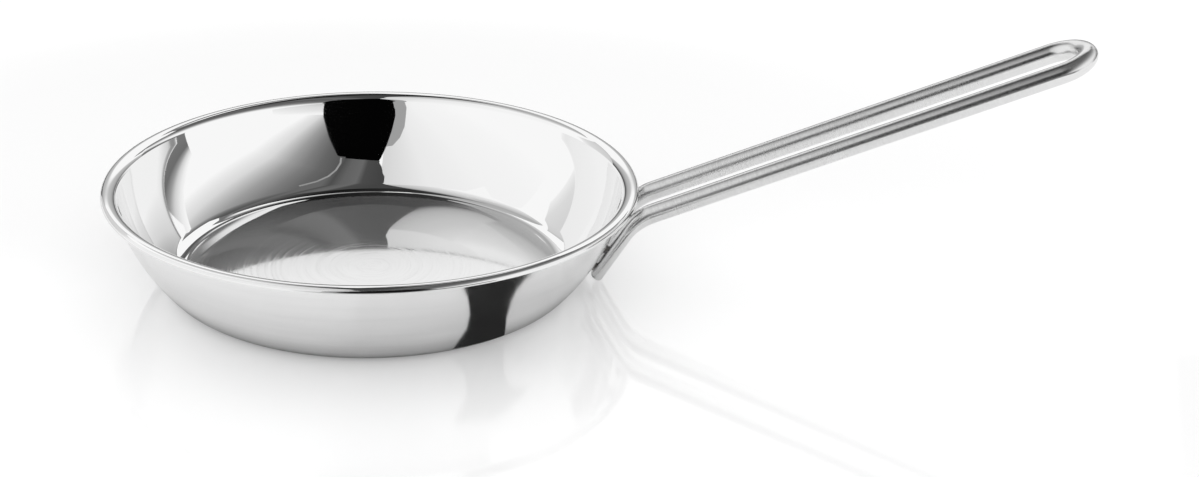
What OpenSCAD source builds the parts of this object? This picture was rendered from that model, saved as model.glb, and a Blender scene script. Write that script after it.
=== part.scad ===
// Shallow frying pan of three-layer stainless sheet, with a looped rod handle.
// The base rests on z = 0, the pan turns about Z and the handle runs out along +X.

/* [Pan body] */
// Diameter over the rolled rim
rim_d = 248; // [236:1:270]
// Height from the resting face to the top of the rim
pan_h = 47.7; // [42:0.1:60]
// Diameter of the flat base
base_d = 176; // [160:1:186]
// Outer radius of the bend between the base and the wall
corner_r = 13.5; // [9:0.5:17]
// Slope of the wall just above that bend, in degrees from level
wall_foot_deg = 49; // [42:1:54]
// Underside radius of the bend that rolls the wall out into the rim
roll_r = 2.4; // [1.6:0.1:5]
// Width of the flat lip beyond that bend
lip_w = 2.7; // [1.8:0.1:5]
// Fall of the lip towards its edge, in degrees
lip_fall_deg = 6; // [0:1:12]

/* [Sheet layers] */
// Thickness of the stainless layer that the food touches
cooking_t = 0.5; // [0.3:0.05:0.8]
// Thickness of the aluminium core
core_t = 1.4; // [0.8:0.1:2]
// Thickness of the magnetic stainless layer outside
outer_t = 0.5; // [0.3:0.05:0.8]

/* [Handle] */
// Diameter of the handle rod
rod_d = 8.8; // [7.6:0.1:10.4]
// Distance between the centre lines of its two runs
rod_pitch = 27.6; // [24:0.2:34]
// Rise of the handle, in degrees from level
handle_deg = 23; // [14:1:30]
// Distance from the pan's axis to the end of the loop
handle_reach = 317; // [260:1:370]
// Clearance between the rod and the rim that it passes under
rim_gap = 2.4; // [0.8:0.1:4]
// Centre-line radius of the bend from each run into its leg
leg_bend_r = 25; // [18:1:30]

/* [Legs and welds] */
// Thickness of a leg, where the rod is pressed flat
leg_t = 5.6; // [5:0.1:6.4]
// Width of a leg, where the rod is pressed flat
leg_w = 12; // [10.6:0.1:13]
// Height of the middle of the welds above the resting face
weld_z = 18; // [15:0.5:24]
// Height of the lower end of each leg above the resting face
leg_end_z = 9; // [6:0.5:11]
// Radius round the edge of that end
leg_end_r = 1.6; // [0.8:0.1:2.4]
// Least distance between a leg and the wall
weld_gap = 0.5; // [0.3:0.05:0.8]
// Diameter of each weld spot
spot_d = 4; // [3:0.1:4]
// Distance between the two weld spots of a leg
spot_pitch = 10; // [7:0.5:12]

/* [Hidden] */
$fn = 144;
// Steps in the corner, wall, roll and edge of the pan's outline
corner_steps = 8;
wall_steps = 14;
roll_steps = 10;
edge_steps = 4;
// Sides of a leg's cross-section, and its steps in the bend and round the end
leg_sides = 36;
bend_steps = 10;
end_steps = 4;
// Sides of the round block that the welds are cut to
seat_sides = 900;
// Steps in which the slope at the head of the wall is found
slope_steps = 12;

sheet_t = outer_t + core_t + cooking_t;
rim_r = rim_d / 2;
base_r = base_d / 2;
rod_r = rod_d / 2;
rod_y = rod_pitch / 2;
// How far a leg reaches into the round run that it is one piece with
splice = rod_r;
// Points of an outline closer together than this are one point
same_point = sheet_t / 1000;

// A unit step along a slope, and the unit step square to it on its outer, lower side
function along(deg) = [cos(deg), sin(deg)];
function outward(deg) = [sin(deg), -cos(deg)];
function cross2(a, b) = a[0] * b[1] - a[1] * b[0];
function eased(share) = share * share * (3 - 2 * share);

// The lip slopes down towards its edge, which is rounded to half the sheet
lip_deg = -lip_fall_deg;
half_t = sheet_t / 2;
// Middle of the roll: its top is the top of the pan, and the lip beyond it ends at the rim's diameter
roll_c = [
    rim_r - half_t + (roll_r + half_t) * sin(lip_deg) - (lip_w - half_t) * cos(lip_deg),
    pan_h - roll_r - sheet_t
];
// Foot of the wall, where the corner ends
wall_foot = [base_r, corner_r] + corner_r * outward(wall_foot_deg);
// Head of the wall, where the roll starts, for a given slope there
function wall_head(deg) = roll_c - roll_r * outward(deg);
// The slope at the head that lets one arc join foot and head: the chord halves its two slopes
function head_slope(deg, steps_left) =
    steps_left < 1 ? deg
    : let (chord = wall_head(deg) - wall_foot)
      head_slope(2 * atan2(chord[1], chord[0]) - wall_foot_deg, steps_left - 1);
wall_head_deg = head_slope(wall_foot_deg, slope_steps);
wall_chord = norm(wall_head(wall_head_deg) - wall_foot);
wall_r = wall_chord / (2 * sin((wall_head_deg - wall_foot_deg) / 2));
wall_c = wall_foot - wall_r * outward(wall_foot_deg);

// Points of an arc that bulges outwards, from one slope to another
function bulge(centre, r, deg0, deg1, steps) =
    [for (i = [0:steps]) centre + r * outward(deg0 + (deg1 - deg0) * i / steps)];

// End of the lip at a depth into the sheet: its edge is fully rounded
function lip_end(depth) =
    let (reach = lip_w - half_t + sqrt(max(0, half_t * half_t - (depth - half_t) * (depth - half_t))))
    roll_c - (roll_r + depth) * outward(lip_deg) + reach * along(lip_deg);

// Takes points that repeat, where two stretches meet, only once
function no_repeats(points) =
    [for (i = [0:len(points) - 1]) if (i == 0 || norm(points[i] - points[i - 1]) > same_point) points[i]];

// The outline from the axis to the end of the lip, at a depth into the sheet from its outer face
function sheet_line(depth) = no_repeats(concat(
    [[0, depth]],
    bulge([base_r, corner_r], corner_r - depth, 0, wall_foot_deg, corner_steps),
    bulge(wall_c, wall_r - depth, wall_foot_deg, wall_head_deg, wall_steps),
    bulge(roll_c, -(roll_r + depth), wall_head_deg, lip_deg, roll_steps),
    [lip_end(depth)]
));

// One layer of the sheet, between two depths from its outer face
module layer(depth0, depth1) {
    lower = sheet_line(depth0);
    upper = sheet_line(depth1);
    edge = [for (i = [1:edge_steps - 1]) lip_end(depth0 + (depth1 - depth0) * i / edge_steps)];
    rotate_extrude() polygon(concat(lower, edge, [for (i = [len(upper) - 1:-1:0]) upper[i]]));
}

// The pan as a solid block, for seating what touches its outer face
module pan_block() {
    line = sheet_line(0);
    top = line[len(line) - 1];
    rotate_extrude($fn = seat_sides) polygon(concat(line, [[0, top[1]]]));
}

// The leg lies along the wall's own slope at the height of the welds
leg_deg = acos((wall_c[1] - weld_z) / wall_r);
wall_at_weld = wall_c[0] + wall_r * sin(leg_deg);
// The edge of the leg's flat nearest to the handle's middle is the first to meet the round wall
seat_y = rod_y - (leg_w - leg_t) / 2;
leg_mid = [sqrt(wall_at_weld * wall_at_weld - seat_y * seat_y), weld_z] + (weld_gap + leg_t / 2) * outward(leg_deg);
leg_end = leg_mid - (leg_mid[1] - leg_end_z) / sin(leg_deg) * along(leg_deg);
// A point on each run's centre line, straight under the edge of the rim
lip_under = lip_end(0);
run_start = [sqrt(rim_r * rim_r - rod_y * rod_y), lip_under[1]] + (rim_gap + rod_r) * outward(handle_deg);
// Where the lines of leg and run cross, and the bend that rounds that corner
to_corner = cross2(run_start - leg_mid, along(handle_deg)) / cross2(along(leg_deg), along(handle_deg));
corner = leg_mid + to_corner * along(leg_deg);
bend_len = leg_bend_r * tan((leg_deg - handle_deg) / 2);
bend_c = corner - bend_len * along(leg_deg) + leg_bend_r * outward(leg_deg);
// Lower end of the straight run, the middle of the loop, and the length between them
run_low = corner + bend_len * along(handle_deg);
run_len = (handle_reach - rod_r - run_low[0]) / cos(handle_deg) - rod_y;
loop_mid = run_low + run_len * along(handle_deg);

// Cross-section of the rod at a place: a stadium, which is a circle where thickness and width are the same.
// Each step gives [centre, slope, thickness, width].
function section(s) =
    [for (i = [0:leg_sides - 1])
        let (
            a = 360 * (i + 1 / 2) / leg_sides,
            side = sign(cos(a)) * (s[3] - s[2]) / 2 + s[2] / 2 * cos(a),
            out = s[0] + s[2] / 2 * sin(a) * outward(s[1])
        )
        [out[0], side, out[1]]];

// The leg's many-sided end lies just inside the round rod
splice_d = rod_d * cos(180 / leg_sides);

// The sections of one leg, from its lower end to the round rod
leg_steps = concat(
    [for (i = [0:end_steps - 1])
        let (a = 90 * i / end_steps, inset = 2 * leg_end_r * (1 - sin(a)))
        [leg_end + leg_end_r * (1 - cos(a)) * along(leg_deg), leg_deg, leg_t - inset, leg_w - inset]],
    [[leg_end + leg_end_r * along(leg_deg), leg_deg, leg_t, leg_w]],
    [for (i = [0:bend_steps])
        let (
            deg = leg_deg + (handle_deg - leg_deg) * i / bend_steps,
            flat = 1 - eased(i / bend_steps),
            d = i == bend_steps ? splice_d : rod_d
        )
        [bend_c - leg_bend_r * outward(deg), deg, d + (leg_t - rod_d) * flat, d + (leg_w - rod_d) * flat]],
    [[run_low + splice * along(handle_deg), handle_deg, splice_d, splice_d]]
);

module leg() {
    rings = len(leg_steps);
    last = (rings - 1) * leg_sides;
    polyhedron(
        points = [for (s = leg_steps) each section(s)],
        faces = concat(
            [[for (i = [leg_sides - 1:-1:0]) i]],
            [for (j = [0:rings - 2], i = [0:leg_sides - 1])
                let (k = (i + 1) % leg_sides, low = j * leg_sides, up = low + leg_sides)
                [low + i, low + k, up + k, up + i]],
            [[for (i = [0:leg_sides - 1]) last + i]]
        )
    );
}

module base_layer() {
    color("lightsteelblue") layer(0, outer_t);
}

module heat_core() {
    color("darkgray") layer(outer_t, outer_t + core_t);
}

module cooking_layer() {
    color("gainsboro") layer(outer_t + core_t, sheet_t);
}

module handle_rod() {
    color("silver") union() {
        // The loop's middle is the origin here, and +Z runs up the handle
        translate([loop_mid[0], 0, loop_mid[1]]) rotate([0, 90 - handle_deg, 0]) {
            rotate([90, 0, 90]) rotate_extrude(angle = 180) translate([rod_y, 0]) circle(r = rod_r);
            for (side = [-1, 1])
                translate([0, side * rod_y, -run_len]) cylinder(h = run_len, r = rod_r);
        }
        for (side = [-1, 1]) translate([0, side * rod_y, 0]) leg();
    }
}

// Each spot runs from the flat of its leg to the wall: a longer peg, cut to the wall's outer face
module weld_spots() {
    flat = leg_mid - leg_t / 2 * outward(leg_deg);
    peg_len = leg_t;
    color("gray") difference() {
        for (side = [-1, 1], place = [-1, 1])
            translate([flat[0], side * rod_y, flat[1]])
                rotate([0, -leg_deg, 0])
                    translate([place * spot_pitch / 2, 0, 0]) cylinder(h = peg_len, r = spot_d / 2);
        pan_block();
    }
}

base_layer();
heat_core();
cooking_layer();
handle_rod();
weld_spots();
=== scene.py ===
import math

import bmesh
import bpy
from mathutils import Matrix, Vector


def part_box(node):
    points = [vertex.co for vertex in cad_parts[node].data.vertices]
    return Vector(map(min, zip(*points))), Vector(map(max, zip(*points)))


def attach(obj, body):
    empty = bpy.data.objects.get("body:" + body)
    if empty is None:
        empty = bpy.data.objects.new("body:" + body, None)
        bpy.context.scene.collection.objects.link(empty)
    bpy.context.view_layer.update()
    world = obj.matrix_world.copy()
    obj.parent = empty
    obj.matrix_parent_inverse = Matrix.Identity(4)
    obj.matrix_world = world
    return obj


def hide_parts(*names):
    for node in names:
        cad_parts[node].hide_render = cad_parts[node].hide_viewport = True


# The looks of a clad steel frying pan, in metres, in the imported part's frame:
# the base rests on z = 0, the pan turns about Z and the handle runs out along +X.

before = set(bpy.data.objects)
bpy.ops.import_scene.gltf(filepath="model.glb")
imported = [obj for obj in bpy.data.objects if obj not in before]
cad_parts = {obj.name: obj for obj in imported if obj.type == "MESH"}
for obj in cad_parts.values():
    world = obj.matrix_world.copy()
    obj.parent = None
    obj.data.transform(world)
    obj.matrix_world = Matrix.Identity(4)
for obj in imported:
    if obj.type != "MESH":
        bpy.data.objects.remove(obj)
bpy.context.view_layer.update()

# Sizes of the sheet and its outline
PAN_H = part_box("cooking_layer")[1].z
RIM_R = 0.124
BASE_R = 0.088
CORNER_R = 0.0135
WALL_FOOT = math.radians(49)  # slope of the wall where it leaves the corner
ROLL_R = 0.0024
LIP_W = 0.0027
LIP_SLOPE = math.radians(-6)
LOWER_R = 0.0003  # the broken lower corner of the lip's end
OUTER_T, CORE_T, COOKING_T = 0.0005, 0.0014, 0.0005
SHEET_T = OUTER_T + CORE_T + COOKING_T
SLOPE_ROUNDS = 12  # rounds in which the slope at the wall's head settles

# Sizes of the handle
ROD_R = 0.0044
ROD_Y = 0.0138  # a run's middle, from the pan's own
HANDLE_RISE = math.radians(23)
HANDLE_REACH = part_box("handle_rod")[1].x
RIM_GAP = 0.0024
LEG_BEND_R = 0.025
LEG_T, LEG_W = 0.0056, 0.012
WELD_Z = 0.018
LEG_END_Z = 0.009
LEG_END_R = 0.0016
LEG_END_TURN = math.radians(5)  # where the end's rounding starts, on its quarter circle
WELD_GAP = 0.0005

# How finely the pieces are cut
TURN_STEPS = 256
ARC_STEP = math.radians(2)
LIP_END_STEPS = 12
ROD_SIDES = 48
LEG_END_STEPS = 8
LEG_BEND_STEPS = 20
LOOP_STEPS = 40
SMOOTH_ANGLE = math.radians(40)
WELD_TOGETHER = 1e-6


# Outline of the pan, as points (radius, height)

def along(slope):
    return Vector((math.cos(slope), math.sin(slope)))


def outward(slope):
    return Vector((math.sin(slope), -math.cos(slope)))


def roll_middle():
    half = SHEET_T / 2
    radius = RIM_R - half + (ROLL_R + half) * math.sin(LIP_SLOPE) - (LIP_W - half) * math.cos(LIP_SLOPE)
    return Vector((radius, PAN_H - ROLL_R - SHEET_T))


CORNER_MID = Vector((BASE_R, CORNER_R))
ROLL_MID = roll_middle()
FOOT = CORNER_MID + CORNER_R * outward(WALL_FOOT)


def head_slope():
    """Slope at which one arc from the corner meets the roll: its chord halves the slopes at its ends."""
    slope = WALL_FOOT
    for _ in range(SLOPE_ROUNDS):
        chord = ROLL_MID - ROLL_R * outward(slope) - FOOT
        slope = 2 * math.atan2(chord.y, chord.x) - WALL_FOOT
    return slope


WALL_HEAD = head_slope()
WALL_CHORD = (ROLL_MID - ROLL_R * outward(WALL_HEAD) - FOOT).length
WALL_R = WALL_CHORD / (2 * math.sin((WALL_HEAD - WALL_FOOT) / 2))
WALL_MID = FOOT - WALL_R * outward(WALL_FOOT)


def arc(middle, radius, slope0, slope1):
    """Points of an arc between two slopes, without its first point."""
    steps = max(2, math.ceil(abs(slope1 - slope0) / ARC_STEP))
    return [middle + radius * outward(slope0 + (slope1 - slope0) * i / steps) for i in range(1, steps + 1)]


def lip_end(depth):
    """The lip's end at a depth from the outer face: a ground quarter round, its lower corner just broken."""
    broken = LOWER_R - math.sqrt(LOWER_R**2 - max(0.0, LOWER_R - depth) ** 2)
    reach = LIP_W - SHEET_T + math.sqrt(SHEET_T**2 - depth**2) - broken
    return ROLL_MID - (ROLL_R + depth) * outward(LIP_SLOPE) + reach * along(LIP_SLOPE)


def sheet_line(depth):
    """The outline from the axis to the end of the lip, at a depth into the sheet from its outer face."""
    return [
        Vector((0, depth)),
        Vector((BASE_R, depth)),
        *arc(CORNER_MID, CORNER_R - depth, 0, WALL_FOOT),
        *arc(WALL_MID, WALL_R - depth, WALL_FOOT, WALL_HEAD),
        *arc(ROLL_MID, -(ROLL_R + depth), WALL_HEAD, LIP_SLOPE),
        lip_end(depth),
    ]


# Modelling by hand-like operators

def new_piece(name):
    """Names the object just added and its mesh."""
    piece = bpy.context.active_object
    piece.name = piece.data.name = name
    return piece


def finish_piece(piece, material, slot, *nodes):
    """Leaves edit mode with the place in the mesh, smooths the piece and puts it in place of CAD nodes."""
    bpy.ops.object.mode_set(mode="OBJECT")
    bpy.ops.object.transform_apply(location=True, rotation=True, scale=True)
    bpy.ops.object.shade_smooth_by_angle(angle=SMOOTH_ANGLE)
    piece.data.materials.append(material)
    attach(piece, "root")
    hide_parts(*nodes)


def draw_line(places):
    """Draws a line and stays in edit mode: a plane merged to a point, then extruded from place to place."""
    bpy.ops.object.select_all(action="DESELECT")
    bpy.ops.mesh.primitive_plane_add(size=SHEET_T)
    bpy.ops.object.mode_set(mode="EDIT")
    bpy.ops.mesh.merge(type="CENTER")
    bpy.ops.transform.translate(value=places[0])
    for here, there in zip(places, places[1:]):
        bpy.ops.mesh.extrude_vertices_move(TRANSFORM_OT_translate={"value": Vector(there) - Vector(here)})


def turned_layer(name, depth0, depth1, material, slot, node):
    """One layer of the sheet, between two depths from its outer face: a closed outline, spun."""
    edge = [lip_end(depth0 + (depth1 - depth0) * i / LIP_END_STEPS) for i in range(1, LIP_END_STEPS)]
    outline = [*sheet_line(depth0), *edge, *reversed(sheet_line(depth1))]
    draw_line([(point.x, 0, point.y) for point in outline])
    piece = new_piece(name)
    bpy.ops.mesh.select_all(action="SELECT")
    bpy.ops.mesh.spin(steps=TURN_STEPS, angle=2 * math.pi, center=(0, 0, 0), axis=(0, 0, 1))
    bpy.ops.mesh.select_all(action="SELECT")
    bpy.ops.mesh.remove_doubles(threshold=WELD_TOGETHER)
    bpy.ops.mesh.normals_make_consistent(inside=False)
    finish_piece(piece, material, slot, node)


# The handle's own line, as points (distance out, height)

def cross(a, b):
    return a.x * b.y - a.y * b.x


LEG_SLOPE = math.acos((WALL_MID.y - WELD_Z) / WALL_R)
WALL_AT_WELD = WALL_MID.x + WALL_R * math.sin(LEG_SLOPE)
SEAT_Y = ROD_Y - (LEG_W - LEG_T) / 2
LEG_SEAT = Vector((math.sqrt(WALL_AT_WELD**2 - SEAT_Y**2), WELD_Z))
LEG_MID = LEG_SEAT + (WELD_GAP + LEG_T / 2) * outward(LEG_SLOPE)
LEG_END = LEG_MID - (LEG_MID.y - LEG_END_Z) / math.sin(LEG_SLOPE) * along(LEG_SLOPE)
LIP_UNDER = ROLL_MID - ROLL_R * outward(LIP_SLOPE) + (LIP_W - SHEET_T / 2) * along(LIP_SLOPE)
RIM_OVER_RUN = Vector((math.sqrt(RIM_R**2 - ROD_Y**2), LIP_UNDER.y))
RUN_START = RIM_OVER_RUN + (RIM_GAP + ROD_R) * outward(HANDLE_RISE)
TO_CORNER = cross(RUN_START - LEG_MID, along(HANDLE_RISE)) / cross(along(LEG_SLOPE), along(HANDLE_RISE))
LEG_CORNER = LEG_MID + TO_CORNER * along(LEG_SLOPE)
BEND_LEN = LEG_BEND_R * math.tan((LEG_SLOPE - HANDLE_RISE) / 2)
BEND_MID = LEG_CORNER - BEND_LEN * along(LEG_SLOPE) + LEG_BEND_R * outward(LEG_SLOPE)
RUN_LOW = LEG_CORNER + BEND_LEN * along(HANDLE_RISE)
LOOP_FROM_LOW = (HANDLE_REACH - ROD_R - RUN_LOW.x) / math.cos(HANDLE_RISE) - ROD_Y
LOOP_MID = RUN_LOW + LOOP_FROM_LOW * along(HANDLE_RISE)


def eased(share):
    """A share from 0 to 1 that starts and ends gently."""
    return share * share * (3 - 2 * share)


def leg_sections():
    """Places along a leg, from its lower end to the round rod, as (centre, slope, thickness, width)."""
    rod_d = 2 * ROD_R
    rows = []
    for i in range(LEG_END_STEPS + 1):
        turn = LEG_END_TURN + (math.pi / 2 - LEG_END_TURN) * i / LEG_END_STEPS
        inset = 2 * LEG_END_R * (1 - math.sin(turn))
        centre = LEG_END + LEG_END_R * (1 - math.cos(turn)) * along(LEG_SLOPE)
        rows.append((centre, LEG_SLOPE, LEG_T - inset, LEG_W - inset))
    for i in range(LEG_BEND_STEPS + 1):
        slope = LEG_SLOPE + (HANDLE_RISE - LEG_SLOPE) * i / LEG_BEND_STEPS
        flat = 1 - eased(i / LEG_BEND_STEPS)
        centre = BEND_MID - LEG_BEND_R * outward(slope)
        rows.append((centre, slope, rod_d + (LEG_T - rod_d) * flat, rod_d + (LEG_W - rod_d) * flat))
    return rows


def select_points(piece, wanted):
    """Selects the vertices that pass a test, and nothing else, of a mesh in edit mode."""
    mesh = bmesh.from_edit_mesh(piece.data)
    mesh.select_mode = {"VERT"}
    for part in (mesh.faces, mesh.edges, mesh.verts):
        for element in part:
            element.select = False
    mesh.verts.ensure_lookup_table()
    for v in mesh.verts:
        v.select = wanted(v)
    mesh.select_flush_mode()
    bmesh.update_edit_mesh(piece.data)


def spread_ring(piece, gap):
    """Moves the two halves of the ring in hand apart, or together, so that a circle becomes a stadium."""
    ring = {v.index for v in bmesh.from_edit_mesh(piece.data).verts if v.select}
    for side in (-1, 1):
        select_points(piece, lambda v: v.index in ring and side * (v.co.y - ROD_Y) > 0)
        bpy.ops.transform.translate(value=(0, side * gap, 0))
    select_points(piece, lambda v: v.index in ring)


def turn_about_y(angle, middle):
    """Turns what is selected from +X towards +Z; with no window the operator turns the other way."""
    bpy.ops.transform.rotate(value=angle, orient_axis="Y", center_override=middle)


def carry_ring(piece, old, new):
    """Extrudes the ring in hand from one section of the rod to the next."""
    (here, slope0, t0, w0), (there, slope1, t1, w1) = old, new
    step = there - here
    middle = (there.x, ROD_Y, there.y)
    bpy.ops.mesh.extrude_region_move(TRANSFORM_OT_translate={"value": (step.x, 0, step.y)})
    spread_ring(piece, (t0 - w0) / 2)
    bpy.ops.transform.resize(value=(t1 / t0,) * 3, center_override=middle)
    spread_ring(piece, (w1 - t1) / 2)
    turn_about_y(slope1 - slope0, middle)


def bent_rod(material):
    """The handle: half of it is drawn from a leg's end to the loop's tip, then mirrored."""
    sections = leg_sections()
    start, slope, thick, wide = sections[0]
    bpy.ops.object.select_all(action="DESELECT")
    bpy.ops.mesh.primitive_circle_add(vertices=ROD_SIDES, radius=thick / 2)
    rod = new_piece("bent_handle")
    bpy.ops.object.mode_set(mode="EDIT")
    bpy.ops.transform.rotate(value=math.pi / ROD_SIDES, orient_axis="Z", center_override=(0, 0, 0))
    turn_about_y(slope - math.pi / 2, (0, 0, 0))
    bpy.ops.transform.translate(value=(start.x, ROD_Y, start.y))
    spread_ring(rod, (wide - thick) / 2)
    for old, new in zip(sections, sections[1:]):
        carry_ring(rod, old, new)
    run = LOOP_MID - sections[-1][0]
    bpy.ops.mesh.extrude_region_move(TRANSFORM_OT_translate={"value": (run.x, 0, run.y)})
    across = (-math.sin(HANDLE_RISE), 0, math.cos(HANDLE_RISE))
    loop_middle = (LOOP_MID.x, 0, LOOP_MID.y)
    bpy.ops.mesh.spin(steps=LOOP_STEPS // 2, angle=math.pi / 2, center=loop_middle, axis=across)
    select_points(rod, lambda v: (Vector((v.co.x, v.co.z)) - start).dot(along(slope)) < WELD_TOGETHER)
    bpy.ops.mesh.edge_face_add()
    bpy.ops.object.mode_set(mode="OBJECT")
    mirror = rod.modifiers.new("other_side", "MIRROR")
    mirror.use_axis = (False, True, False)
    mirror.merge_threshold = WELD_TOGETHER
    bpy.ops.object.modifier_apply(modifier=mirror.name)
    bpy.ops.object.mode_set(mode="EDIT")
    bpy.ops.mesh.select_all(action="SELECT")
    bpy.ops.mesh.normals_make_consistent(inside=False)
    finish_piece(rod, material, "handle_steel", "handle_rod")


# Materials

MICRON = 1e-6
MIX_SOCKETS = {"FLOAT": (2, 3, 0), "RGBA": (6, 7, 2)}  # a Mix node's first and second input and its result


def put(tree, kind, settings=None, **sockets):
    """Adds a node, with its settings and what feeds its sockets."""
    node = tree.nodes.new("ShaderNode" + kind)
    for name, value in (settings or {}).items():
        setattr(node, name, value)
    connect(tree, node, **sockets)
    return node


def connect(tree, node, **sockets):
    """Feeds sockets of a node by name, in which _ stands for a space."""
    for name, value in sockets.items():
        feed(tree, node.inputs[name.replace("_", " ")], value)


def feed(tree, socket, value):
    """Gives a socket a value, or links another node's output to it."""
    if isinstance(value, bpy.types.NodeSocket):
        tree.links.new(value, socket)
    else:
        socket.default_value = value


def reckon(tree, operation, first, second=0.0):
    """Result of a sum on one or two numbers."""
    node = put(tree, "Math", {"operation": operation})
    feed(tree, node.inputs[0], first)
    feed(tree, node.inputs[1], second)
    return node.outputs[0]


def reckon_vector(tree, operation, first, second=(0, 0, 0)):
    """Result of a sum on one or two vectors."""
    node = put(tree, "VectorMath", {"operation": operation})
    feed(tree, node.inputs[0], first)
    feed(tree, node.inputs[1], second)
    return node.outputs["Value" if operation in ("LENGTH", "DOT_PRODUCT") else "Vector"]


def fade(tree, value, from_low, from_high, to_low=0.0, to_high=1.0):
    """Eases a number from one range to another and holds it there."""
    node = put(tree, "MapRange", {"interpolation_type": "SMOOTHSTEP"}, Value=value, From_Min=from_low,
               From_Max=from_high, To_Min=to_low, To_Max=to_high)
    return node.outputs["Result"]


def blend(tree, kind, share, first, second):
    """Mixes two numbers or colours: all of the first at a share of 0, and all of the second at 1."""
    first_at, second_at, result_at = MIX_SOCKETS[kind]
    node = put(tree, "Mix", {"data_type": kind}, Factor=share)
    feed(tree, node.inputs[first_at], first)
    feed(tree, node.inputs[second_at], second)
    return node.outputs[result_at]


def grey(level):
    return (level, level, level, 1)


def grain(tree, place, scale, detail, roughness):
    """Noise between 0 and 1."""
    node = put(tree, "TexNoise", Vector=place, Scale=scale, Detail=detail, Roughness=roughness)
    return node.outputs["Fac"]


def radius_of(tree, place):
    return reckon_vector(tree, "LENGTH", reckon_vector(tree, "MULTIPLY", place, (1, 1, 0)))


def relief(tree, height, depth):
    """Normals of a surface raised by a height between 0 and 1, times a depth in metres."""
    return put(tree, "Bump", Strength=1.0, Distance=depth, Height=height).outputs["Normal"]


def new_effect(name, inputs, outputs):
    """An empty node group for an effect that finishes share, with its given and its resulting sockets."""
    tree = bpy.data.node_groups.new(name, "ShaderNodeTree")
    for label, kind in inputs.items():
        tree.interface.new_socket(label, in_out="INPUT", socket_type="NodeSocket" + kind)
    for label in outputs:
        tree.interface.new_socket(label, in_out="OUTPUT", socket_type="NodeSocketFloat")
    return tree, tree.nodes.new("NodeGroupInput").outputs, tree.nodes.new("NodeGroupOutput").inputs


def use_effect(tree, effect, **sockets):
    return put(tree, "Group", {"node_tree": effect}, **sockets).outputs


def turned_lines():
    """Fine lines round the axis, as a lathe's pad leaves them, broken into long arcs, and slower bands."""
    inputs = {"Place": "Vector", "Lines per metre": "Float", "Arcs": "Float"}
    tree, given, result = new_effect("turned_lines", inputs, ["Lines", "Bands"])
    flat = reckon_vector(tree, "MULTIPLY", given["Place"], (1, 1, 0))
    height = put(tree, "SeparateXYZ", Vector=given["Place"]).outputs["Z"]
    profile = reckon(tree, "ADD", reckon_vector(tree, "LENGTH", flat), height)
    count = reckon(tree, "MULTIPLY", profile, given["Lines per metre"])
    round_axis = reckon_vector(tree, "NORMALIZE", flat)
    scaled = put(tree, "VectorMath", {"operation": "SCALE"}, Vector=round_axis, Scale=given["Arcs"])
    arcs = scaled.outputs["Vector"]
    for label, share, detail in (("Lines", 1.0, 3.0), ("Bands", 0.08, 1.0)):
        up = put(tree, "CombineXYZ", Z=reckon(tree, "MULTIPLY", count, share)).outputs["Vector"]
        feed(tree, result[label], grain(tree, reckon_vector(tree, "ADD", arcs, up), 1.0, detail, 0.6))
    return tree


def handling_haze():
    """Soft patches where hands and cloths have dulled the polish a little."""
    tree, given, result = new_effect("handling_haze", {"Place": "Vector"}, ["Haze"])
    cloud = grain(tree, given["Place"], 22.0, 3.0, 0.55)
    feed(tree, result["Haze"], fade(tree, cloud, 0.42, 0.7))
    return tree


def new_finish(name):
    """A material with its tree, its shader and the place on the object, in metres."""
    material = bpy.data.materials.new(name)
    material.use_nodes = True
    tree = material.node_tree
    return material, tree, tree.nodes["Principled BSDF"], put(tree, "TexCoord").outputs["Object"]


def metal(shader, lean=0.0, turn=0.0):
    """Bare metal; lean stretches its reflections one way, and turn swings that way round."""
    shader.inputs["Metallic"].default_value = 1
    shader.inputs["Anisotropic"].default_value = lean
    shader.inputs["Anisotropic Rotation"].default_value = turn


def polished_inside(lines, haze):
    """The cooking side: a mirror-bright wall, and a floor with the spun grain of its polishing."""
    material, tree, shader, place = new_finish("polished_inside")
    metal(shader)
    on_floor = fade(tree, radius_of(tree, place), BASE_R - 0.0012, BASE_R + 0.0006, 1.0, 0.0)
    spun = use_effect(tree, lines, Place=place, Lines_per_metre=1900.0, Arcs=0.9)
    rings = use_effect(tree, lines, Place=place, Lines_per_metre=800.0, Arcs=0.4)
    dulled = use_effect(tree, haze, Place=place)
    wall_gloss = fade(tree, dulled["Haze"], 0, 1, 0.02, 0.045)
    floor_gloss = reckon(tree, "ADD", fade(tree, spun["Lines"], 0.42, 0.7, 0.05, 0.11),
                         fade(tree, rings["Lines"], 0.5, 0.62, 0.0, 0.035))
    marks = reckon(tree, "MULTIPLY", spun["Lines"], fade(tree, on_floor, 0, 1, 0.04, 1.0))
    connect(tree, shader,
            Base_Color=blend(tree, "RGBA", on_floor, grey(0.93), grey(0.86)),
            Metallic=fade(tree, on_floor, 0, 1, 1.0, 0.92),
            Roughness=blend(tree, "FLOAT", on_floor, wall_gloss, floor_gloss),
            Normal=relief(tree, marks, 1 * MICRON))
    return material


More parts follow.
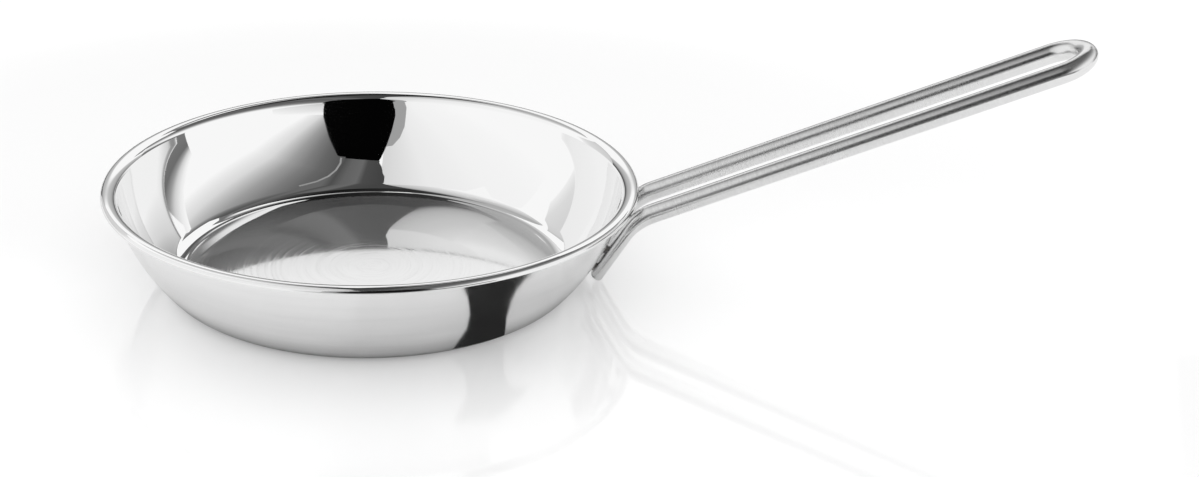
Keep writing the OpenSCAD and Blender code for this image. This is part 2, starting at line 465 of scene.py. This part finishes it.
def satin_outside(lines, haze):
    """The outer side: satin, brushed round the wall, and duller where it stands on the hob."""
    material, tree, shader, place = new_finish("satin_outside")
    metal(shader, lean=0.85, turn=0.25)
    brushed = use_effect(tree, lines, Place=place, Lines_per_metre=3200.0, Arcs=1.4)
    dulled = use_effect(tree, haze, Place=place)
    height = put(tree, "SeparateXYZ", Vector=place).outputs["Z"]
    underside = fade(tree, height, 0.0002, 0.0016, 1.0, 0.0)
    satin = fade(tree, reckon(tree, "ADD", brushed["Lines"], dulled["Haze"]), 0.3, 1.6, 0.12, 0.2)
    connect(tree, shader,
            Base_Color=blend(tree, "RGBA", brushed["Bands"], grey(0.84), grey(0.91)),
            Roughness=reckon(tree, "ADD", satin, reckon(tree, "MULTIPLY", underside, 0.15)),
            Tangent=put(tree, "Tangent", {"direction_type": "RADIAL", "axis": "Z"}).outputs[0],
            Normal=relief(tree, brushed["Lines"], 4 * MICRON))
    return material


def cut_core(lines):
    """Aluminium, bare only in the fine line round the edge of the rim, where the sheet was cut and turned."""
    material, tree, shader, place = new_finish("cut_core")
    metal(shader)
    cut = use_effect(tree, lines, Place=place, Lines_per_metre=6000.0, Arcs=5.0)
    connect(tree, shader,
            Base_Color=blend(tree, "RGBA", cut["Bands"], grey(0.82), grey(0.9)),
            Roughness=fade(tree, cut["Lines"], 0.3, 0.7, 0.06, 0.13),
            Normal=relief(tree, cut["Lines"], 1 * MICRON))
    return material


def ground_rod(haze):
    """The handle: its two runs are ground across their length, which leaves fine cross marks and stretches
    the reflections along the rod; its legs and the loop are smooth satin."""
    material, tree, shader, place = new_finish("ground_rod")
    metal(shader, lean=0.85)
    out, up = along(HANDLE_RISE)
    run = reckon_vector(tree, "DOT_PRODUCT", place, (out, 0, up))
    rise = reckon_vector(tree, "DOT_PRODUCT", place, (-up, 0, out))
    side = put(tree, "SeparateXYZ", Vector=place).outputs["Y"]
    bend_at = RUN_LOW.dot(along(HANDLE_RISE))
    loop_at = LOOP_MID.dot(along(HANDLE_RISE))
    ground = reckon(tree, "MULTIPLY", fade(tree, run, bend_at - 0.03, bend_at + 0.01),
                    fade(tree, run, loop_at - 0.02, loop_at + 0.004, 1.0, 0.0))
    marks_along, marks_across = 3200.0, 260.0  # steps of the marks in a metre
    marks = put(tree, "CombineXYZ",
                X=reckon(tree, "MULTIPLY", run, marks_along),
                Y=reckon(tree, "MULTIPLY", side, marks_across),
                Z=reckon(tree, "MULTIPLY", rise, marks_across))
    fine = grain(tree, marks.outputs["Vector"], 1.0, 3.0, 0.65)
    worked = reckon(tree, "MULTIPLY", ground, fade(tree, fine, 0.35, 0.65))
    dulled = use_effect(tree, haze, Place=place)
    connect(tree, shader,
            Base_Color=blend(tree, "RGBA", worked, grey(0.8), grey(0.74)),
            Roughness=fade(tree, reckon(tree, "ADD", worked, dulled["Haze"]), 0.0, 2.0, 0.2, 0.3),
            Tangent=put(tree, "CombineXYZ", X=out, Z=up).outputs["Vector"],
            Normal=relief(tree, reckon(tree, "MULTIPLY", fine, ground), 1.5 * MICRON))
    return material


def fused_spot(haze):
    """Resistance welds: dull grey steel with the straw and blue tint that their heat leaves."""
    material, tree, shader, place = new_finish("fused_spot")
    metal(shader)
    heat = grain(tree, place, 900.0, 3.0, 0.6)
    dulled = use_effect(tree, haze, Place=place)
    blue, straw = (0.30, 0.29, 0.31, 1), (0.46, 0.44, 0.41, 1)
    connect(tree, shader,
            Base_Color=blend(tree, "RGBA", fade(tree, heat, 0.35, 0.65), blue, straw),
            Roughness=fade(tree, dulled["Haze"], 0, 1, 0.42, 0.6),
            Normal=relief(tree, heat, 80 * MICRON))
    return material


# Camera

def photo_camera():
    """Stands where the photograph was taken from and looks down, upright, with a shifted lens."""
    stand = Vector((0.11465, -0.77271, 0.35468))
    forward = Vector((-0.09988, 0.90752, -0.40796))
    bpy.ops.object.camera_add(location=stand)
    camera = bpy.context.active_object
    camera.rotation_mode = "QUATERNION"
    camera.rotation_quaternion = forward.to_track_quat("-Z", "Y")
    camera.data.sensor_width = 36
    camera.data.lens = 54.24
    camera.data.shift_x = 0.1382
    camera.data.shift_y = 0.0169
    camera.data.clip_start = 0.01
    camera.data.clip_end = 50
    bpy.context.scene.camera = camera


# Studio: a white room, a white floor, and the cards and screens that a polished pan needs round it

FRONT_Y = -0.9
FAR_Y = 1.6
BACK_Y = 1.7
CEILING_Z = 1.03
LOW_FLAG_Z = 0.0008
OVER_HANDLE = 0.0075  # height of the handle's screen over the middle of its runs
# width of the painted shade round the pan's foot, in the floor's colour that reflections see
PAINTED_FOOT_SHADE_W = 0.019
FLOOR_SIZE = 12


def floor_finish():
    """White acrylic: it shows white to the camera, and in the steel too but for a painted shade, darker
    towards the pan's foot in the colour that only reflections see, and keeps the shadow of the pan."""
    material, tree, shader, place = new_finish("floor_finish")
    path = put(tree, "LightPath").outputs
    radius = radius_of(tree, place)
    mirrored = reckon(tree, "MAXIMUM", path["Is Glossy Ray"], path["Is Transmission Ray"])
    # painted shade: the floor's colour darkens towards the pan's foot, for reflections only
    painted_foot_shade = blend(tree, "RGBA", fade(tree, radius, BASE_R, BASE_R + PAINTED_FOOT_SHADE_W), grey(0.4), grey(1))
    connect(tree, shader,
            Base_Color=blend(tree, "RGBA", mirrored, grey(0.8), painted_foot_shade),
            Roughness=0.06,
            Specular_IOR_Level=fade(tree, radius, 0.25, 0.45, 1.0, 0.0),
            Emission_Color=grey(1),
            Emission_Strength=reckon(tree, "MULTIPLY", path["Is Camera Ray"], 0.25))
    return material


def only_light(tree, light):
    """Makes a light the whole of a material."""
    tree.nodes.remove(tree.nodes["Principled BSDF"])
    tree.links.new(light, tree.nodes["Material Output"].inputs["Surface"])


def glow(name, stops, axis="X", lag=0.0, middle=0.0):
    """A plain glow whose strength goes by the place along one axis, as pairs of place and strength; one pair
    is an even glow. To both sides of a middle line it can lag behind, by a share of the distance from it."""
    material, tree, _, place = new_finish(name)
    places = put(tree, "SeparateXYZ", Vector=place).outputs
    across = places[axis]
    if lag:
        other = places["Y" if axis == "X" else "X"]
        aside = reckon(tree, "ABSOLUTE", reckon(tree, "SUBTRACT", other, middle))
        across = reckon(tree, "SUBTRACT", across, reckon(tree, "MULTIPLY", aside, lag))
    strength = stops[0][1]
    for (here, old), (there, new) in zip(stops, stops[1:]):
        step = put(tree, "MapRange", Value=across, From_Min=here, From_Max=there, To_Min=0.0,
                   To_Max=new - old)
        strength = reckon(tree, "ADD", step.outputs["Result"], strength)
    only_light(tree, put(tree, "Emission", Strength=strength).outputs[0])
    return material


def one_way_glow(name, strength, face_down):
    """A glow that is seen only from above and is clear from below, on a card whose face looks down or up."""
    material, tree, _, _ = new_finish(name)
    seen = put(tree, "Emission", Strength=strength).outputs[0]
    clear = put(tree, "BsdfTransparent").outputs[0]
    sides = put(tree, "MixShader")
    tree.links.new(put(tree, "NewGeometry").outputs["Backfacing"], sides.inputs[0])
    tree.links.new(clear if face_down else seen, sides.inputs[1])
    tree.links.new(seen if face_down else clear, sides.inputs[2])
    only_light(tree, sides.outputs[0])
    return material


def stood(outline, y):
    """An outline of points (x, height), stood upright at a place in depth."""
    return [(x, y, z) for x, z in outline]


def hung(outline, drop=0.0):
    """An outline of points (x, y), flat under the ceiling; of cards that overlap, the lowest is seen."""
    return [(x, y, CEILING_Z - drop) for x, y in outline]


def card(name, outline, material):
    """A flat card cut to an outline, which only reflections see."""
    draw_line(outline)
    piece = new_piece(name)
    bpy.ops.mesh.select_all(action="SELECT")
    bpy.ops.mesh.edge_face_add()
    bpy.ops.object.mode_set(mode="OBJECT")
    bpy.ops.object.transform_apply(location=True, rotation=True, scale=True)
    piece.data.materials.append(material)
    piece.visible_camera = piece.visible_diffuse = piece.visible_shadow = False


def white_room():
    world = bpy.data.worlds.new("studio")
    bpy.context.scene.world = world
    world.use_nodes = True
    world.node_tree.nodes["Background"].inputs["Color"].default_value = grey(1)
    bpy.context.scene.view_settings.view_transform = "Standard"
    bpy.ops.mesh.primitive_plane_add(size=FLOOR_SIZE)
    floor = new_piece("floor")
    floor.data.materials.append(floor_finish())


def front_cards():
    """The black flag that the far wall shows over its middle, and the screens beside and under it."""
    flag = [(-0.08, 0.37), (-0.075, 0.3), (-0.055, 0.25), (-0.02, 0.215), (0.03, 0.198), (0.42, 0.198),
            (0.48, 0.215), (0.525, 0.25), (0.555, 0.31), (0.565, 0.4), (0.545, 0.7), (0.5, 1.0), (0.47, 1.07),
            (0.04, 1.07), (0.02, 1.0), (-0.02, 0.8), (-0.06, 0.55)]
    card("front_flag", stood(flag, FRONT_Y), glow("flag_black", [(0, 0.001)]))
    strip = [(-0.168, 0.5), (-0.168, 0.28), (-0.145, 0.245), (-0.1, 0.222), (0.0, 0.2), (0.0, 0.8),
             (-0.08, 0.78), (-0.14, 0.65)]
    card("side_strip", stood(strip, FRONT_Y - 0.01), glow("strip_grey", [(0, 0.36)]))
    low = [(0.4, 0.0), (1.4, 0.0), (1.4, 0.38), (0.4, 0.38)]
    card("low_screen", stood(low, FRONT_Y - 0.02),
         glow("low_grey", [(0.17, 0.15), (0.24, 0.3), (0.3, 0.75), (0.38, 1.0)], axis="Z"))
    skirt = [(-0.4, 0.0), (0.45, 0.0), (0.45, 0.21), (-0.4, 0.21)]
    card("front_skirt", stood(skirt, FRONT_Y - 0.01),
         glow("skirt_grey", [(-0.4, 1.0), (-0.15, 0.4), (0.02, 0.15), (0.45, 0.12)]))


def ceiling_cards():
    """The dark panel overhead with its lit edge, its soft edge and its batten, and the screens round it."""
    panel = [(-0.28, 0.45), (-0.3, 0.57), (0.2, 0.6), (0.5, 0.75), (0.62, -0.27), (0.5, -0.39), (0.43, -0.5),
             (0.4, -0.62), (0.4, -0.75), (0.43, -0.86), (0.03, -0.86), (0.03, -0.82), (0.004, -0.75),
             (-0.01, -0.68), (-0.014, -0.64), (-0.034, -0.58), (-0.034, -0.5), (-0.027, -0.42),
             (-0.06, -0.28), (-0.125, -0.085), (-0.185, 0.12), (-0.19, 0.2)]
    card("ceiling_panel", hung(panel, 0.01),
         glow("panel_grey", [(0.0, 0.06), (0.14, 0.075), (0.19, 0.15), (0.3, 0.13), (0.38, 0.08),
                             (0.45, 0.14)]))
    edge = [(0.62, -0.27), (0.5, -0.39), (0.43, -0.5), (0.4, -0.62), (0.4, -0.75), (0.43, -0.86),
            (0.45, -0.86), (0.42, -0.75), (0.42, -0.62), (0.45, -0.51), (0.515, -0.405), (0.64, -0.28)]
    card("panel_edge", hung(edge, 0.012), glow("edge_light", [(0.4, 0.34), (0.64, 0.3)]))
    batten = [(-0.42, 0.5), (-0.42, 0.58), (0.2, 0.6), (0.3, 0.71), (0.4, 0.83), (0.45, 0.24), (-0.173, 0.14),
              (-0.2, 0.2), (-0.245, 0.3), (-0.3, 0.42), (-0.32, 0.47)]
    card("far_batten", hung(batten, 0.02),
         glow("batten_dark", [(-0.42, 0.36), (-0.33, 0.24), (-0.27, 0.06), (-0.2, 0.03), (0.05, 0.008),
                              (0.2, 0.04), (0.4, 0.12)]))
    soft = [(-0.44, -0.3), (0.0, -0.3), (-0.1, 0.1), (-0.25, 0.52), (-0.43, 0.52), (-0.44, 0.2)]
    card("panel_soft_edge", hung(soft, 0.005),
         glow("soft_edge_fade", [(-0.4, 0.82), (-0.23, 0.67), (-0.16, 0.63), (-0.11, 0.58), (-0.07, 0.53),
                                 (-0.04, 0.47), (-0.015, 0.36), (0.0, 0.24), (0.01, 0.15), (0.025, 0.05),
                                 (0.05, 0.04)], lag=-0.45, middle=-0.3))
    shade = [(-0.12, 0.3), (-0.12, 1.1), (0.32, 1.08), (0.4, 0.92), (0.6, 0.82), (0.6, 0.3)]
    card("far_shade", hung(shade, -0.005),
         glow("far_shade_fade", [(0.76, 1.0), (0.86, 0.85), (0.96, 0.4), (1.02, 0.18), (1.5, 0.16)],
              axis="Y", lag=-1.1, middle=0.22))
    far_left = [(-1.0, -0.3), (-0.1, -0.3), (-0.2, 1.0), (-1.0, 1.0)]
    card("far_left_screen", hung(far_left),
         glow("far_left_fade", [(-0.4, 1.0), (-0.18, 0.8), (0.03, 0.7), (0.17, 0.62), (0.35, 0.55),
                                (0.5, 0.42), (1.0, 0.5)], axis="Y", lag=1.3, middle=-0.45))
    right = [(0.4, 0.7), (0.5, 0.75), (0.8, 0.95), (1.5, 4.0), (3.0, 4.0), (3.0, -6.0), (0.4, -6.0)]
    card("right_screen", hung(right),
         glow("right_fade", [(0.4, 0.1), (0.59, 0.14), (0.77, 0.215), (1.0, 0.36), (1.25, 0.6), (1.38, 0.74),
                             (1.65, 0.85), (2.0, 1.0)], lag=0.17, middle=-0.6))
    left = [(0.0, 0.3), (0.0, -6.0), (-3.0, -6.0), (-3.0, 0.3)]
    card("left_screen", hung(left), glow("left_fade", [(-3.0, 1.0), (-1.0, 0.95), (-0.4, 0.88), (0.0, 0.7)]))


def far_cards():
    """The graded screens that stand behind the pan."""
    far = [(-1.4, 0.0), (1.4, 0.0), (1.4, 0.8), (-1.4, 0.8)]
    card("far_screen", stood(far, FAR_Y),
         glow("far_fade", [(-0.1, 0.05), (-0.02, 0.12), (0.1, 0.28), (0.2, 0.4), (0.33, 0.48), (0.46, 0.53),
                           (0.51, 0.66), (0.53, 0.8), (0.57, 1.0)], axis="Z", lag=0.1, middle=1.5))
    back_left = [(-5.0, 0.0), (-1.3, 0.0), (-1.3, 1.5), (-5.0, 2.2)]
    card("back_left_screen", stood(back_left, BACK_Y),
         glow("back_left_fade", [(-5.0, 0.92), (-3.6, 0.75), (-1.6, 0.66), (-1.3, 0.55)]))
    back_right = [(1.3, 0.0), (6.6, 0.0), (6.6, 1.7), (1.3, 1.2)]
    card("back_right_screen", stood(back_right, BACK_Y),
         glow("back_right_fade", [(0.0, 0.19), (0.42, 0.16), (0.56, 0.34), (0.68, 0.66), (0.84, 0.88),
                                  (1.0, 1.0)], axis="Z", lag=0.06, middle=1.3))


def near_cards():
    """Two cards close to the pan, clear from below: a black one on the floor in front, for the dark band on
    the outer wall, and a white one over the handle, which keeps the loop's reflection out of the far wall."""
    flag = [(0.06, -0.09), (0.068, -0.098), (0.076, -0.11), (0.083, -0.125), (0.09, -0.145), (0.15, -0.13),
            (0.135, -0.076), (0.112, -0.083), (0.1, -0.084), (0.089, -0.081), (0.078, -0.075),
            (0.068, -0.066), (0.057, -0.076), (0.047, -0.083)]
    card("low_flag", [(x, y, LOW_FLAG_Z) for x, y in flag],
         one_way_glow("one_way_black", 0.02, face_down=True))
    low, high, side = 0.135, 0.325, 0.024
    over = [(low, -side), (low, side), (high, side), (high, -side)]
    rise = math.tan(HANDLE_RISE)
    card("handle_screen", [(x, y, RUN_LOW.y + (x - RUN_LOW.x) * rise + OVER_HANDLE) for x, y in over],
         one_way_glow("one_way_white", 1.0, face_down=False))


# The pan in its studio

photo_camera()
white_room()
front_cards()
ceiling_cards()
far_cards()
near_cards()
bpy.context.scene.cycles.glossy_bounces = 12  # light runs round inside the curled rim
lines = turned_lines()
haze = handling_haze()
turned_layer("outer_sheet", 0, OUTER_T, satin_outside(lines, haze), "outer_steel", "base_layer")
turned_layer("core_sheet", OUTER_T, OUTER_T + CORE_T, cut_core(lines), "core_aluminium", "heat_core")
turned_layer("inner_sheet", OUTER_T + CORE_T, SHEET_T, polished_inside(lines, haze), "inner_steel",
             "cooking_layer")
bent_rod(ground_rod(haze))
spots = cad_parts["weld_spots"]
spots.data.materials.clear()
spots.data.materials.append(fused_spot(haze))
